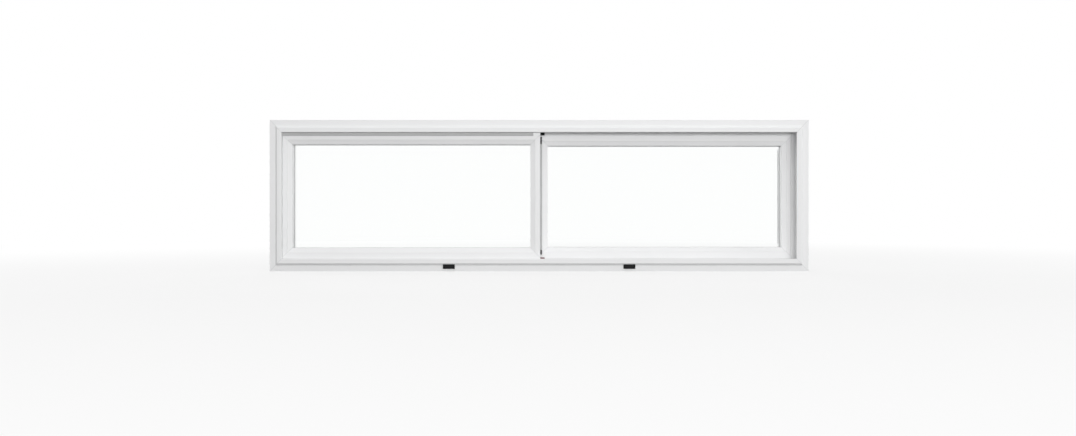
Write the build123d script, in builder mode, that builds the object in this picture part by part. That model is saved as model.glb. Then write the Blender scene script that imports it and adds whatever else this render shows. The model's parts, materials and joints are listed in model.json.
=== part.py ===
from build123d import *
import os

os.makedirs("parts", exist_ok=True)

# Horizontal sliding window in hollow plastic extrusions, sizes in millimetres.
# X runs along the width, Y from the outside of the building to the inside, Z up.
# The origin is under the middle of the sill, halfway through the depth.

# Frame, measured inwards from its outer edge and back from the lip's face
frame_width = 1219.0
frame_height = 342.0
sightline = 28.0
lip_width = 10.0
lip_proud = 5.0
lip_slope = 5.0
lip_round = 1.2
frame_wall = 2.0
frame_chambers = 4
front_leg_depth = 8.5
divider_thickness = 3.0
rear_leg_depth = 9.0
track_floor = 10.5
rail_width = 3.0
rail_height = 4.0

# Fit of the sashes in the frame
seal_gap = 2.0
divider_gap = 1.0
jamb_clearance = 1.5
roller_lift = 6.0
head_room = 8.0
meeting_overlap = 5.4

# Sash extrusions
sash_thickness = 28.0
sash_face = 32.0
meeting_face = 22.3
sash_wall = 2.0
face_wall = 3.5
stop_thickness = 5.0
pocket_depth = 14.0
sash_round = 0.8
sash_edge_round = 0.4
bead_width = 10.0
bead_step = 1.8
bead_nose = 0.7
bead_clearance = 0.1

# Pile seals in the sash grooves
pile_margin = 0.8
pile_width = 4.0
pile_depth = 1.5
pile_side_gap = 0.1
running_gap = 0.3
head_strip_width = 12.3
head_strip_end = 15.7

# Sealed glass unit
pane_thickness = 3.0
air_gap = 10.0
glass_bite = 11.0
edge_seal_width = 3.5
spacer_width = 6.5
block_length = 60.0
block_share = 0.25

# Interlock hooks and their end pads
hook_thickness = 1.2
hook_reach = 3.4
hook_seat = 5.5
hook_gap = 0.6
hook_end_room = 3.0
pad_width = 4.0
top_pad_length = 17.0
bottom_pad_length = 11.5
pad_end_room = 1.5

# Dust plugs on the divider
plug_width = 26.6
plug_seat = 8.0
head_plug_drop = 3.3
sill_plug_rise = 1.8
plug_side_gap = 0.6

# Rollers
wheel_groove_radius = 8.0
wheel_flange = 1.5
wheel_width = 6.4
wheel_side_gap = 0.5
wheel_floor_width = 2.6
axle_radius = 1.5
axle_fit = 0.05
wheel_fit = 0.08
cheek_thickness = 2.5
housing_length = 36.0
housing_flange = 9.0
housing_flange_thickness = 1.5
housing_roof = 1.5
wheel_top_gap = 0.8
housing_fit = 0.3
roller_inset = 75.0

# Cam lock and keeper
lock_length = 60.0
lock_width = 18.0
lock_corner = 6.0
lock_base_thickness = 4.0
lock_setback = 10.5
spindle_radius = 3.0
spindle_fit = 0.1
cam_thickness = 3.0
cam_reach = 3.0
cam_angle = 60.0
cam_gap = 0.3
cam_hub_radius = 7.0
lever_length = 22.0
lever_tip_radius = 4.0
lever_thickness = 3.5
lever_ridge = 1.5
keeper_length = 42.0
keeper_width = 11.6
keeper_thickness = 1.5
keeper_slot_gap = 0.7
lock_screw_spacing = 46.0
keeper_screw_spacing = 32.0
screw_radius = 1.0
screw_head_radius = 2.2
screw_head_height = 1.2
screw_length = 4.0
lock_screw_length = 5.5
lock_edge = 0.8
keeper_fit = 0.1

# Pulls
pull_length = 220.0
pull_rail_height = 8.5
pull_rail_thickness = 2.0
pull_rail_hook = 4.0
pull_rail_base = 9.0
pull_rail_inset = 0.8
groove_length = 110.0
groove_width = 9.0
groove_depth = 3.0
groove_inset = 2.5
groove_corner = 4.4

# Drainage and fixing holes
weep_offset = 204.0
weep_cover_width = 26.5
weep_cover_height = 10.2
weep_cover_proud = 3.4
weep_cover_bottom = 5.5
weep_cover_wall = 1.2
weep_cover_edge = 0.4
weep_cover_fit = 0.1
weep_slot_rise = 3.4
weep_slot_width = 20.0
weep_slot_height = 4.0
drain_width = 4.0
jamb_screw_radius = 2.6
jamb_screw_spacing = 200.0

# Places worked out from the sizes above
unit_thickness = 2 * pane_thickness + air_gap
glass_front = sash_thickness - stop_thickness - unit_thickness
first_track = front_leg_depth + seal_gap
divider_front = first_track + sash_thickness + divider_gap
divider_back = divider_front + divider_thickness
second_track = divider_back + divider_gap
rear_leg_front = second_track + sash_thickness + seal_gap
frame_depth = rear_leg_front + rear_leg_depth
outside = -frame_depth / 2
rail_top = track_floor + rail_height
rail_centres = (first_track + sash_thickness / 2, second_track + sash_thickness / 2)
sash_bottom = rail_top + roller_lift
sash_top = frame_height - rail_top - head_room
jamb_edge = frame_width / 2 - rail_top - jamb_clearance
meeting_edge = meeting_overlap / 2
sash_middle = (sash_bottom + sash_top) / 2
sash_gap = second_track - first_track - sash_thickness
divider_middle = outside + (divider_front + divider_back) / 2
lock_face = -meeting_edge
lock_y = outside + second_track + lock_setback
cam_x = lock_face - lock_base_thickness - cam_gap - cam_thickness / 2
cam_radius = lock_setback + sash_gap + cam_reach
keeper_slot_width = cam_thickness + 2 * keeper_slot_gap
keeper_slot_length = 2 * ((cam_radius**2 - (cam_radius - cam_reach) ** 2) ** 0.5 + keeper_slot_gap)


def side_plane(side, low, high, front):
    """Plane at one side of a rectangle from low to high (x, z): x inwards, y back, z along it."""
    left, bottom = low
    right, top = high
    places = {
        "bottom": ((right, front, bottom), (0, 0, 1), (-1, 0, 0)),
        "top": ((left, front, top), (0, 0, -1), (1, 0, 0)),
        "left": ((left, front, bottom), (1, 0, 0), (0, 0, 1)),
        "right": ((right, front, top), (-1, 0, 0), (0, 0, -1)),
    }
    origin, inwards, along = places[side]
    return Plane(origin=origin, x_dir=inwards, z_dir=along)


def side_length(side, low, high):
    """Length of one side of the rectangle from low to high."""
    return high[0] - low[0] if side in ("bottom", "top") else high[1] - low[1]


def mitre_cuts(side, low, high):
    """The two mitre planes of a side, through the corners of the inner rectangle, facing the bar."""
    corners = {
        "bottom": ((-1, -1), (1, -1)),
        "top": ((-1, 1), (1, 1)),
        "left": ((-1, -1), (-1, 1)),
        "right": ((1, -1), (1, 1)),
    }
    facing = 1 if side in ("bottom", "top") else -1
    planes = []
    for across, up in corners[side]:
        corner = (low[0] if across < 0 else high[0], 0, low[1] if up < 0 else high[1])
        planes.append(Plane(origin=corner, z_dir=(-across * facing, 0, up * facing)))
    return planes


def mitred_bar(side, low, high, inner_low, inner_high, front, outline, soft_corners, chambers, end_wall=0):
    """Hollow extrusion along one side of a frame, with both ends mitred at the inner corners.

    soft_corners lists (x, y, radius) and chambers lists (x0, y0, x1, y1) in the section.
    end_wall closes the chambers at the ends, where a bar runs past the mitre.
    """
    plane = side_plane(side, low, high, front)
    length = side_length(side, low, high)
    with BuildPart() as bar:
        with BuildSketch(plane) as section:
            with BuildLine():
                Polyline(*outline, close=True)
            make_face()
            for x, y, radius in soft_corners:
                corner = section.vertices().sort_by_distance((x, y, 0))[0]
                fillet(corner, radius)
        extrude(amount=length)
        if chambers:
            with BuildSketch(plane.offset(end_wall)):
                for x0, y0, x1, y1 in chambers:
                    with Locations(((x0 + x1) / 2, (y0 + y1) / 2)):
                        Rectangle(x1 - x0, y1 - y0)
            extrude(amount=length - 2 * end_wall, mode=Mode.SUBTRACT)
        for cut in mitre_cuts(side, inner_low, inner_high):
            split(bisect_by=cut, keep=Keep.TOP)
    return bar.part


def save(piece, label):
    """Label a finished piece and write it under its own name."""
    piece.part.label = label
    export_step(piece.part, f"parts/{label}.step")


# Frame: one extrusion on all four sides, mitred and welded at the corners
frame_low = (-frame_width / 2, 0)
frame_high = (frame_width / 2, frame_height)
daylight_low = (frame_low[0] + sightline, frame_low[1] + sightline)
daylight_high = (frame_high[0] - sightline, frame_high[1] - sightline)
lip_edge = sightline - lip_width
frame_outline = [
    (0, lip_proud),
    (lip_edge - lip_slope, lip_proud),
    (lip_edge, 0),
    (sightline, 0),
    (sightline, front_leg_depth),
    (track_floor, front_leg_depth),
    (track_floor, divider_front),
    (sightline, divider_front),
    (sightline, divider_back),
    (track_floor, divider_back),
    (track_floor, rear_leg_front),
    (sightline, rear_leg_front),
    (sightline, frame_depth),
    (0, frame_depth),
]
frame_soft_corners = [
    (lip_edge, 0, lip_round),
    (sightline, 0, lip_round),
    (sightline, frame_depth, lip_round),
    (0, frame_depth, lip_round),
]
chamber_front = lip_proud + frame_wall
chamber_span = frame_depth - frame_wall - chamber_front
chamber_depth = (chamber_span - (frame_chambers - 1) * frame_wall) / frame_chambers
frame_hollows = [
    (
        frame_wall,
        chamber_front + i * (chamber_depth + frame_wall),
        track_floor - frame_wall,
        chamber_front + i * (chamber_depth + frame_wall) + chamber_depth,
    )
    for i in range(frame_chambers)
]
frame_hollows.append(
    (lip_edge + frame_wall, frame_wall, sightline - frame_wall, front_leg_depth - frame_wall)
)
frame_hollows.append(
    (track_floor, rear_leg_front + frame_wall, sightline - frame_wall, frame_depth - frame_wall)
)


def frame_bar(side):
    """One side of the frame with its two roller rails."""
    box = (side, frame_low, frame_high, daylight_low, daylight_high, outside)
    bar = mitred_bar(*box, frame_outline, frame_soft_corners, frame_hollows)
    plane = side_plane(side, frame_low, frame_high, outside)
    with BuildPart() as rails:
        with BuildSketch(plane):
            for y in rail_centres:
                with Locations(((track_floor + rail_top - rail_width / 2) / 2, y)):
                    Rectangle(rail_height - rail_width / 2, rail_width)
                with Locations((rail_top - rail_width / 2, y)):
                    Circle(rail_width / 2)
        extrude(amount=side_length(side, frame_low, frame_high))
        for cut in mitre_cuts(side, daylight_low, daylight_high):
            split(bisect_by=cut, keep=Keep.TOP)
    return bar, rails.part


def plug_notch(height, drop):
    """Notch in the divider's edge that takes a dust plug, at this height and opening by drop."""
    with BuildPart() as notch:
        with BuildSketch(Plane.XZ.offset(-divider_middle)):
            with Locations((0, height)):
                Rectangle(plug_width, drop)
        extrude(amount=divider_thickness, both=True)
    return notch.part


plug_bottom = sightline - plug_seat / 2
plug_top = frame_height - plug_bottom
weep_slot_centre = weep_cover_bottom + weep_slot_rise

with BuildPart() as frame_head:
    for piece in frame_bar("top"):
        add(piece)
    add(plug_notch(plug_top, plug_seat), mode=Mode.SUBTRACT)
save(frame_head, "frame_head")

with BuildPart() as frame_sill:
    for piece in frame_bar("bottom"):
        add(piece)
    add(plug_notch(plug_bottom, plug_seat), mode=Mode.SUBTRACT)
    with BuildSketch(Plane.XZ.offset(-outside - lip_proud)):
        with Locations((-weep_offset, weep_slot_centre), (weep_offset, weep_slot_centre)):
            Rectangle(weep_slot_width, weep_slot_height)
    extrude(amount=-frame_wall, mode=Mode.SUBTRACT)
    drain_y = outside + (front_leg_depth + rail_centres[0]) / 2
    with BuildSketch(Plane.XY.offset(track_floor)):
        with Locations((-weep_offset, drain_y), (weep_offset, drain_y)):
            Rectangle(weep_slot_width, drain_width)
    extrude(amount=-frame_wall, mode=Mode.SUBTRACT)
save(frame_sill, "frame_sill")

jamb_screw_y = outside + (divider_back + rail_centres[1] - rail_width / 2) / 2
for side, across in (("left", -1), ("right", 1)):
    with BuildPart() as frame_jamb:
        for piece in frame_bar(side):
            add(piece)
        with BuildSketch(Plane.YZ.offset(across * frame_width / 2)):
            with Locations((jamb_screw_y, frame_height / 2)):
                with GridLocations(0, jamb_screw_spacing, 1, 2):
                    Circle(jamb_screw_radius)
        extrude(amount=-across * track_floor, mode=Mode.SUBTRACT)
    save(frame_jamb, f"frame_jamb_{side}")


# Weep covers: small hoods over the drain slots, open underneath, with their tops against the lip's slope
weep_cover_top = weep_cover_bottom + weep_cover_height
slope_foot = lip_edge - lip_slope
cover_back = outside + lip_proud
cover_front = cover_back - weep_cover_proud
slope_at_top = cover_back - (weep_cover_top - slope_foot) * lip_proud / lip_slope
for side, across in (("left", -1), ("right", 1)):
    with BuildPart() as weep_cover:
        with BuildSketch(Plane.YZ.offset(across * weep_offset - weep_cover_width / 2)):
            with BuildLine():
                Polyline(
                    (cover_back, weep_cover_bottom),
                    (cover_back, slope_foot - weep_cover_fit),
                    (slope_at_top, weep_cover_top - weep_cover_fit),
                    (slope_at_top, weep_cover_top),
                    (cover_front, weep_cover_top),
                    (cover_front, weep_cover_bottom),
                    close=True,
                )
            make_face()
        extrude(amount=weep_cover_width)
        chamfer(weep_cover.faces().sort_by(Axis.Y)[0].edges(), weep_cover_edge)
        with BuildSketch(Plane.XY.offset(weep_cover_bottom)):
            with Locations((across * weep_offset, cover_back)):
                Rectangle(
                    weep_cover_width - 2 * weep_cover_wall,
                    weep_cover_proud - weep_cover_wall,
                    align=(Align.CENTER, Align.MAX),
                )
        extrude(amount=slope_foot - weep_cover_wall - weep_cover_bottom, mode=Mode.SUBTRACT)
    save(weep_cover, f"weep_cover_{side}")


# Dust plugs: pile blocks let into the divider where the sashes meet
def dust_plug(edge, proud, inwards):
    """Block seated in the divider's notch, standing proud of the divider's edge."""
    with BuildPart() as plug:
        with BuildSketch(Plane.XY.offset(edge - inwards * plug_seat)):
            with Locations((0, divider_middle)):
                Rectangle(plug_width - 2 * running_gap, divider_thickness)
        extrude(amount=inwards * plug_seat)
        with BuildSketch(Plane.XY.offset(edge)):
            with Locations((0, divider_middle)):
                Rectangle(plug_width - 2 * running_gap, sash_gap - 2 * plug_side_gap)
        extrude(amount=inwards * proud)
    return plug


save(dust_plug(frame_height - sightline, head_plug_drop, -1), "head_dust_plug")
save(dust_plug(sightline, sill_plug_rise, 1), "sill_dust_plug")


# Sashes: the front one, in the outside track, has its jamb stile on the left, the rear one on the right
def sash_outline(face):
    """Section of a sash bar that is face wide: the outer edge, the bead's pocket and the inner stop."""
    return [
        (0, 0),
        (face - bead_width, 0),
        (face - bead_width, sash_wall),
        (face - pocket_depth, sash_wall),
        (face - pocket_depth, sash_thickness - stop_thickness),
        (face, sash_thickness - stop_thickness),
        (face, sash_thickness),
        (0, sash_thickness),
    ]


def sash_soft_corners(face):
    """Rounded corners of the section."""
    return [
        (0, 0, sash_edge_round),
        (face - bead_width, 0, sash_round),
        (face, sash_thickness, sash_round),
        (0, sash_thickness, sash_edge_round),
    ]


def sash_hollow(face):
    """The single chamber of a sash bar."""
    return [(sash_wall, face_wall, face - pocket_depth - sash_wall, sash_thickness - face_wall)]


def bead_outline():
    """Section of a glazing bead, from the pocket's floor to the sight edge, sloping back to the glass."""
    back = glass_front - bead_clearance
    foot = sash_wall + bead_clearance
    return [
        (bead_clearance, foot),
        (pocket_depth - bead_width + bead_clearance, foot),
        (pocket_depth - bead_width + bead_clearance, bead_step),
        (pocket_depth - bead_nose, back - 2 * bead_nose),
        (pocket_depth, back - bead_nose),
        (pocket_depth, back),
        (bead_clearance, back),
    ]


def build_sash(name, across, front, gap_in_front, gap_behind):
    """Write every piece of one sash. across is -1 with the jamb stile on the left and 1 on the right."""
    jamb_side, meeting_side = ("left", "right") if across < 0 else ("right", "left")
    ends = sorted((across * jamb_edge, -across * meeting_edge))
    low = (ends[0], sash_bottom)
    high = (ends[1], sash_top)
    faces = {jamb_side: sash_face, meeting_side: meeting_face}
    sight_low = (low[0] + faces["left"], low[1] + sash_face)
    sight_high = (high[0] - faces["right"], high[1] - sash_face)
    back = front + sash_thickness

    def bar(side, face):
        box = (side, low, high, sight_low, sight_high, front)
        section = (sash_outline(face), sash_soft_corners(face), sash_hollow(face))
        return mitred_bar(*box, *section, end_wall=0 if face == meeting_face else sash_wall)

    def pile_grooves(side, with_front=True):
        """Grooves for the pile seals in the back face of a bar and, if asked, in its front face."""
        plane = side_plane(side, low, high, front)
        depths = [sash_thickness - pile_depth / 2]
        if with_front:
            depths.append(pile_depth / 2)
        with BuildPart() as grooves:
            with BuildSketch(plane):
                for y in depths:
                    with Locations((pile_margin + pile_width / 2, y)):
                        Rectangle(pile_width, pile_depth)
            extrude(amount=side_length(side, low, high))
        return grooves.part

    def head_strip(fit, proud):
        """Broad strip under the head's lip, from its recess's floor to proud of the face, grown by fit."""
        width = strip_ends[1] - strip_ends[0] - 2 * pile_side_gap + 2 * fit
        height = head_strip_width - 2 * pile_side_gap + 2 * fit
        middle = (sum(strip_ends) / 2, high[1] - pile_margin - head_strip_width / 2)
        with BuildPart() as strip:
            with BuildSketch(Plane.XZ.offset(-front - pile_depth)):
                with Locations(middle):
                    Rectangle(width, height)
            extrude(amount=pile_depth + proud)
        return strip.part

    # Rails, with the bottom one cut out for its rollers; the front sash's top one takes a broad strip
    has_head_strip = across < 0
    corner_room = pile_margin + pile_width
    strip_ends = (low[0] + corner_room, high[0] - head_strip_end)
    roller_places = [low[0] + roller_inset, high[0] - roller_inset]
    roller_y = front + sash_thickness / 2
    slot_width = wheel_width + 2 * wheel_side_gap
    housing_width = slot_width + 2 * cheek_thickness
    axle_height = rail_top + running_gap + wheel_groove_radius
    wheel_radius = wheel_groove_radius + wheel_flange
    wheel_room = wheel_radius + wheel_top_gap
    housing_top = axle_height + wheel_room + housing_roof

    with BuildPart() as top_rail:
        add(bar("top", sash_face))
        add(pile_grooves("top", with_front=not has_head_strip), mode=Mode.SUBTRACT)
        if has_head_strip:
            add(head_strip(pile_side_gap, pile_depth), mode=Mode.SUBTRACT)
    save(top_rail, f"{name}_top_rail")

    with BuildPart() as bottom_rail:
        add(bar("bottom", sash_face))
        add(pile_grooves("bottom"), mode=Mode.SUBTRACT)
        with BuildSketch(Plane.XY.offset(sash_bottom)):
            with Locations(*[(x, roller_y) for x in roller_places]):
                Rectangle(housing_length + 2 * housing_fit, housing_width + 2 * housing_fit)
        extrude(amount=housing_top + housing_fit - sash_bottom, mode=Mode.SUBTRACT)
    save(bottom_rail, f"{name}_bottom_rail")

    # Jamb stile, with a finger groove in the front sash's inside face
    with BuildPart() as jamb_stile:
        add(bar(jamb_side, sash_face))
        add(pile_grooves(jamb_side), mode=Mode.SUBTRACT)
        if has_head_strip:
            add(head_strip(pile_side_gap, pile_depth), mode=Mode.SUBTRACT)
        if across < 0:
            groove_x = sight_low[0] - groove_inset - groove_width / 2
            with BuildSketch(Plane.XZ.offset(-back)):
                with Locations((groove_x, sash_middle)):
                    RectangleRounded(groove_width, groove_length, groove_corner)
            extrude(amount=groove_depth, mode=Mode.SUBTRACT)
    save(jamb_stile, f"{name}_jamb_stile")

    # Meeting stile, rebated for the interlock; the front sash's one also takes the keeper
    meeting_x = -across * meeting_edge
    hook_x = meeting_x + across * hook_thickness / 2
    facing_gap = back if across < 0 else front
    into_stile = -1 if across < 0 else 1
    with BuildPart() as meeting_stile:
        add(bar(meeting_side, meeting_face))
        with BuildSketch(Plane.XY.offset(sash_bottom)):
            with Locations((hook_x, facing_gap + into_stile * hook_seat / 2)):
                Rectangle(hook_thickness, hook_seat)
        extrude(amount=sash_top - sash_bottom, mode=Mode.SUBTRACT)
        if across < 0:
            with BuildSketch(Plane.XZ.offset(-back)):
                with Locations((cam_x, sash_middle)):
                    Rectangle(keeper_width + 2 * keeper_fit, keeper_length + 2 * keeper_fit)
            extrude(amount=keeper_thickness, mode=Mode.SUBTRACT)
            with BuildSketch(Plane.XZ.offset(-back)):
                with Locations((cam_x, sash_middle)):
                    Rectangle(keeper_slot_width, keeper_slot_length)
            extrude(amount=cam_reach + cam_gap, mode=Mode.SUBTRACT)
            with BuildSketch(Plane.XZ.offset(-back)):
                with Locations((cam_x, sash_middle)):
                    with GridLocations(0, keeper_screw_spacing, 1, 2):
                        Circle(screw_radius)
            extrude(amount=screw_length, mode=Mode.SUBTRACT)
        else:
            with BuildSketch(Plane.YZ.offset(meeting_x)):
                with Locations((lock_y, sash_middle)):
                    with GridLocations(0, lock_screw_spacing, 1, 2):
                        Circle(screw_radius)
            extrude(amount=sash_wall, mode=Mode.SUBTRACT)
    save(meeting_stile, f"{name}_meeting_stile")

    # Glazing beads
    pocket_low = (sight_low[0] - pocket_depth, sight_low[1] - pocket_depth)
    pocket_high = (sight_high[0] + pocket_depth, sight_high[1] + pocket_depth)
    for side in ("top", "bottom", "left", "right"):
        with BuildPart() as bead:
            pocket = (side, pocket_low, pocket_high, sight_low, sight_high, front)
            add(mitred_bar(*pocket, bead_outline(), [], []))
        save(bead, f"{name}_bead_{side}")

    # Sealed unit: two panes, the spacer bar between them and the edge seal round it
    glass_low = (sight_low[0] - glass_bite, sight_low[1] - glass_bite)
    glass_high = (sight_high[0] + glass_bite, sight_high[1] + glass_bite)
    glass_width = glass_high[0] - glass_low[0]
    glass_height = glass_high[1] - glass_low[1]
    glass_middle = ((glass_low[0] + glass_high[0]) / 2, (glass_low[1] + glass_high[1]) / 2)
    outer_glass = front + glass_front

    def glass_plate(start, thickness, inset, ring):
        """Rectangle inset from the glass edge, start behind the outside, with a hole if ring is given."""
        with BuildPart() as plate:
            with BuildSketch(Plane.XZ.offset(-start)):
                with Locations(glass_middle):
                    Rectangle(glass_width - 2 * inset, glass_height - 2 * inset)
                    if ring:
                        hole = inset + ring
                        Rectangle(glass_width - 2 * hole, glass_height - 2 * hole, mode=Mode.SUBTRACT)
            extrude(amount=-thickness)
        return plate

    save(glass_plate(outer_glass, pane_thickness, 0, 0), f"{name}_outer_pane")
    inner_glass = outer_glass + pane_thickness + air_gap
    save(glass_plate(inner_glass, pane_thickness, 0, 0), f"{name}_inner_pane")
    cavity = outer_glass + pane_thickness
    save(glass_plate(cavity, air_gap, 0, edge_seal_width), f"{name}_edge_seal")
    save(glass_plate(cavity, air_gap, edge_seal_width, spacer_width), f"{name}_spacer")

    with BuildPart() as setting_blocks:
        with BuildSketch(Plane.XY.offset(pocket_low[1])):
            quarter = glass_width * (0.5 - block_share)
            block_y = outer_glass + unit_thickness / 2
            with Locations((glass_middle[0] - quarter, block_y), (glass_middle[0] + quarter, block_y)):
                Rectangle(block_length, unit_thickness)
        extrude(amount=pocket_depth - glass_bite)
    save(setting_blocks, f"{name}_setting_blocks")

    # Pile seals: strips in the grooves of the rails and the jamb stile, just short of the frame
    with BuildPart() as pile_seals:
        groove_line = pile_margin + pile_width / 2
        strip = pile_width - 2 * pile_side_gap
        upright = high[1] - low[1] - 2 * (corner_room + pile_side_gap)
        for y_face, out, gap in ((front, -1, gap_in_front), (back, 1, gap_behind)):
            proud = gap - running_gap
            height = pile_depth + proud
            y = y_face + out * (proud - pile_depth) / 2
            levels = [low[1] + groove_line, high[1] - groove_line]
            if has_head_strip and y_face == front:
                levels.pop()
                add(head_strip(0, proud))
            for z in levels:
                with Locations(((low[0] + high[0]) / 2, y, z)):
                    Box(high[0] - low[0] - 2 * pile_margin, height, strip)
            with Locations((across * (jamb_edge - groove_line), y, sash_middle)):
                Box(strip, height, upright)
    save(pile_seals, f"{name}_pile_seals")

    # Interlock: a hook in the meeting stile's rebate that reaches into the gap between the sashes
    out = -into_stile
    hook_low = sightline + hook_end_room + max(head_plug_drop, sill_plug_rise)
    hook_length = frame_height - 2 * hook_low
    tip = facing_gap + out * (sash_gap - hook_gap)
    root = facing_gap + into_stile * hook_seat
    with BuildPart() as interlock:
        with BuildSketch(Plane.XY.offset(hook_low)):
            with Locations((hook_x, (root + tip) / 2)):
                Rectangle(hook_thickness, abs(tip - root))
            hook_middle = meeting_x + across * hook_reach / 2
            with Locations((hook_middle, tip - out * hook_thickness / 2)):
                Rectangle(hook_reach, hook_thickness)
        extrude(amount=hook_length)
    save(interlock, f"{name}_interlock")

    if across < 0:
        # Pads on the hook's outer side, closing the ends of the gap
        with BuildPart() as end_pads:
            pad_x = meeting_x + pad_width / 2
            pad_y = facing_gap + sash_gap / 2
            pad_depth = sash_gap - 2 * hook_gap
            top_pad_z = frame_height - hook_low - pad_end_room + hook_end_room / 2 - top_pad_length / 2
            bottom_pad_z = hook_low + pad_end_room + bottom_pad_length / 2
            with Locations((pad_x, pad_y, top_pad_z)):
                Box(pad_width, pad_depth, top_pad_length)
            with Locations((pad_x, pad_y, bottom_pad_z)):
                Box(pad_width, pad_depth, bottom_pad_length)
        save(end_pads, "interlock_end_pads")

    # Rollers: a housing pushed up into the bottom rail, a grooved wheel and its axle
    half_floor = wheel_floor_width / 2
    half_wheel = wheel_width / 2
    wheel_bore = axle_radius + wheel_fit
    for x, end in zip(roller_places, ("left", "right")):
        with BuildPart() as housing:
            with BuildSketch(Plane.XY.offset(sash_bottom)):
                with Locations((x, roller_y)):
                    Rectangle(housing_length, housing_width)
            extrude(amount=housing_top - sash_bottom)
            with BuildSketch(Plane.XY.offset(sash_bottom)):
                with Locations((x, roller_y)):
                    Rectangle(housing_length + 2 * housing_flange, housing_width)
            extrude(amount=-housing_flange_thickness)
            with BuildSketch(Plane.XZ.offset(-roller_y)):
                with Locations((x, housing_top - housing_roof)):
                    Rectangle(2 * wheel_room, housing_top, align=(Align.CENTER, Align.MAX))
            extrude(amount=slot_width / 2, both=True, mode=Mode.SUBTRACT)
            with BuildSketch(Plane.XZ.offset(-roller_y)):
                with Locations((x, axle_height)):
                    Circle(axle_radius + axle_fit)
            extrude(amount=housing_width, both=True, mode=Mode.SUBTRACT)
        save(housing, f"{name}_roller_housing_{end}")

        with BuildPart() as wheel:
            with BuildSketch(Plane((x, roller_y, axle_height), x_dir=(0, 1, 0), z_dir=(1, 0, 0))):
                with BuildLine():
                    Polyline(
                        (-half_wheel, wheel_bore),
                        (-half_wheel, wheel_radius),
                        (-half_floor, wheel_groove_radius),
                        (half_floor, wheel_groove_radius),
                        (half_wheel, wheel_radius),
                        (half_wheel, wheel_bore),
                        close=True,
                    )
                make_face()
            revolve(axis=Axis((x, roller_y, axle_height), (0, 1, 0)))
        save(wheel, f"{name}_wheel_{end}")

        with BuildPart() as axle:
            with BuildSketch(Plane.XZ.offset(-roller_y)):
                with Locations((x, axle_height)):
                    Circle(axle_radius)
            extrude(amount=housing_width / 2, both=True)
        save(axle, f"{name}_axle_{end}")


build_sash("front", -1, outside + first_track, seal_gap, divider_gap)
build_sash("rear", 1, outside + second_track, divider_gap, seal_gap)


# Cam lock: its base is screwed to the edge of the rear sash's meeting stile
lock_plane = Plane(origin=(lock_face, lock_y, sash_middle), x_dir=(0, -1, 0), z_dir=(-1, 0, 0))

with BuildPart() as lock_base:
    with BuildSketch(lock_plane):
        RectangleRounded(lock_width, lock_length, lock_corner)
    extrude(amount=lock_base_thickness)
    chamfer(lock_base.faces().sort_by(Axis.X)[0].edges(), lock_edge)
    with Locations(lock_plane.offset(lock_base_thickness)):
        Hole(spindle_radius + spindle_fit)
        with GridLocations(0, lock_screw_spacing, 1, 2):
            CounterSinkHole(screw_radius + axle_fit, screw_head_radius + axle_fit)
save(lock_base, "lock_base")

with BuildPart() as lock_screws:
    with Locations(lock_plane.offset(lock_base_thickness)):
        with GridLocations(0, lock_screw_spacing, 1, 2):
            Cone(
                screw_radius,
                screw_head_radius,
                screw_head_height,
                align=(Align.CENTER, Align.CENTER, Align.MAX),
            )
            Cylinder(
                screw_radius,
                lock_screw_length,
                align=(Align.CENTER, Align.CENTER, Align.MAX),
            )
save(lock_screws, "lock_screws")

with BuildPart() as lock_cam:
    with BuildSketch(lock_plane.offset(lock_base_thickness + cam_gap)):
        Circle(cam_hub_radius)
        with BuildLine():
            start = 90 - cam_angle / 2
            rim = CenterArc((0, 0), cam_radius, start, cam_angle)
            Line(rim @ 0, (0, 0))
            Line(rim @ 1, (0, 0))
        make_face()
    extrude(amount=cam_thickness)
    with BuildSketch(lock_plane.offset(cam_gap)):
        Circle(spindle_radius)
    extrude(amount=lock_base_thickness)
save(lock_cam, "lock_cam")

with BuildPart() as lock_lever:
    with BuildSketch(lock_plane.offset(lock_base_thickness + cam_gap + cam_thickness)):
        Circle(cam_hub_radius)
        with Locations((-lever_length, 0)):
            Circle(lever_tip_radius)
        make_hull()
    extrude(amount=lever_thickness)
    chamfer(lock_lever.faces().sort_by(Axis.X)[0].edges(), lock_edge)
    with BuildSketch(lock_plane.offset(lock_base_thickness + cam_gap + cam_thickness + lever_thickness)):
        with Locations((-lever_length, 0)):
            SlotCenterToCenter(lever_tip_radius, lever_ridge, rotation=90)
    extrude(amount=lever_ridge)
save(lock_lever, "lock_lever")


# Keeper: a flush plate on the inside face of the front sash's meeting stile
keeper_back = outside + first_track + sash_thickness
keeper_plane = Plane(origin=(cam_x, keeper_back, sash_middle), x_dir=(-1, 0, 0), z_dir=(0, 1, 0))

with BuildPart() as keeper:
    with BuildSketch(keeper_plane):
        Rectangle(keeper_width, keeper_length)
        Rectangle(keeper_slot_width, keeper_slot_length, mode=Mode.SUBTRACT)
    extrude(amount=-keeper_thickness)
    with Locations(keeper_plane):
        with GridLocations(0, keeper_screw_spacing, 1, 2):
            CounterSinkHole(screw_radius + axle_fit, screw_head_radius + axle_fit)
save(keeper, "keeper")

with BuildPart() as keeper_screws:
    with Locations(keeper_plane):
        with GridLocations(0, keeper_screw_spacing, 1, 2):
            Cone(
                screw_radius,
                screw_head_radius,
                screw_head_height,
                align=(Align.CENTER, Align.CENTER, Align.MAX),
            )
            Cylinder(
                screw_radius,
                screw_length,
                align=(Align.CENTER, Align.CENTER, Align.MAX),
            )
save(keeper_screws, "keeper_screws")


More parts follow.
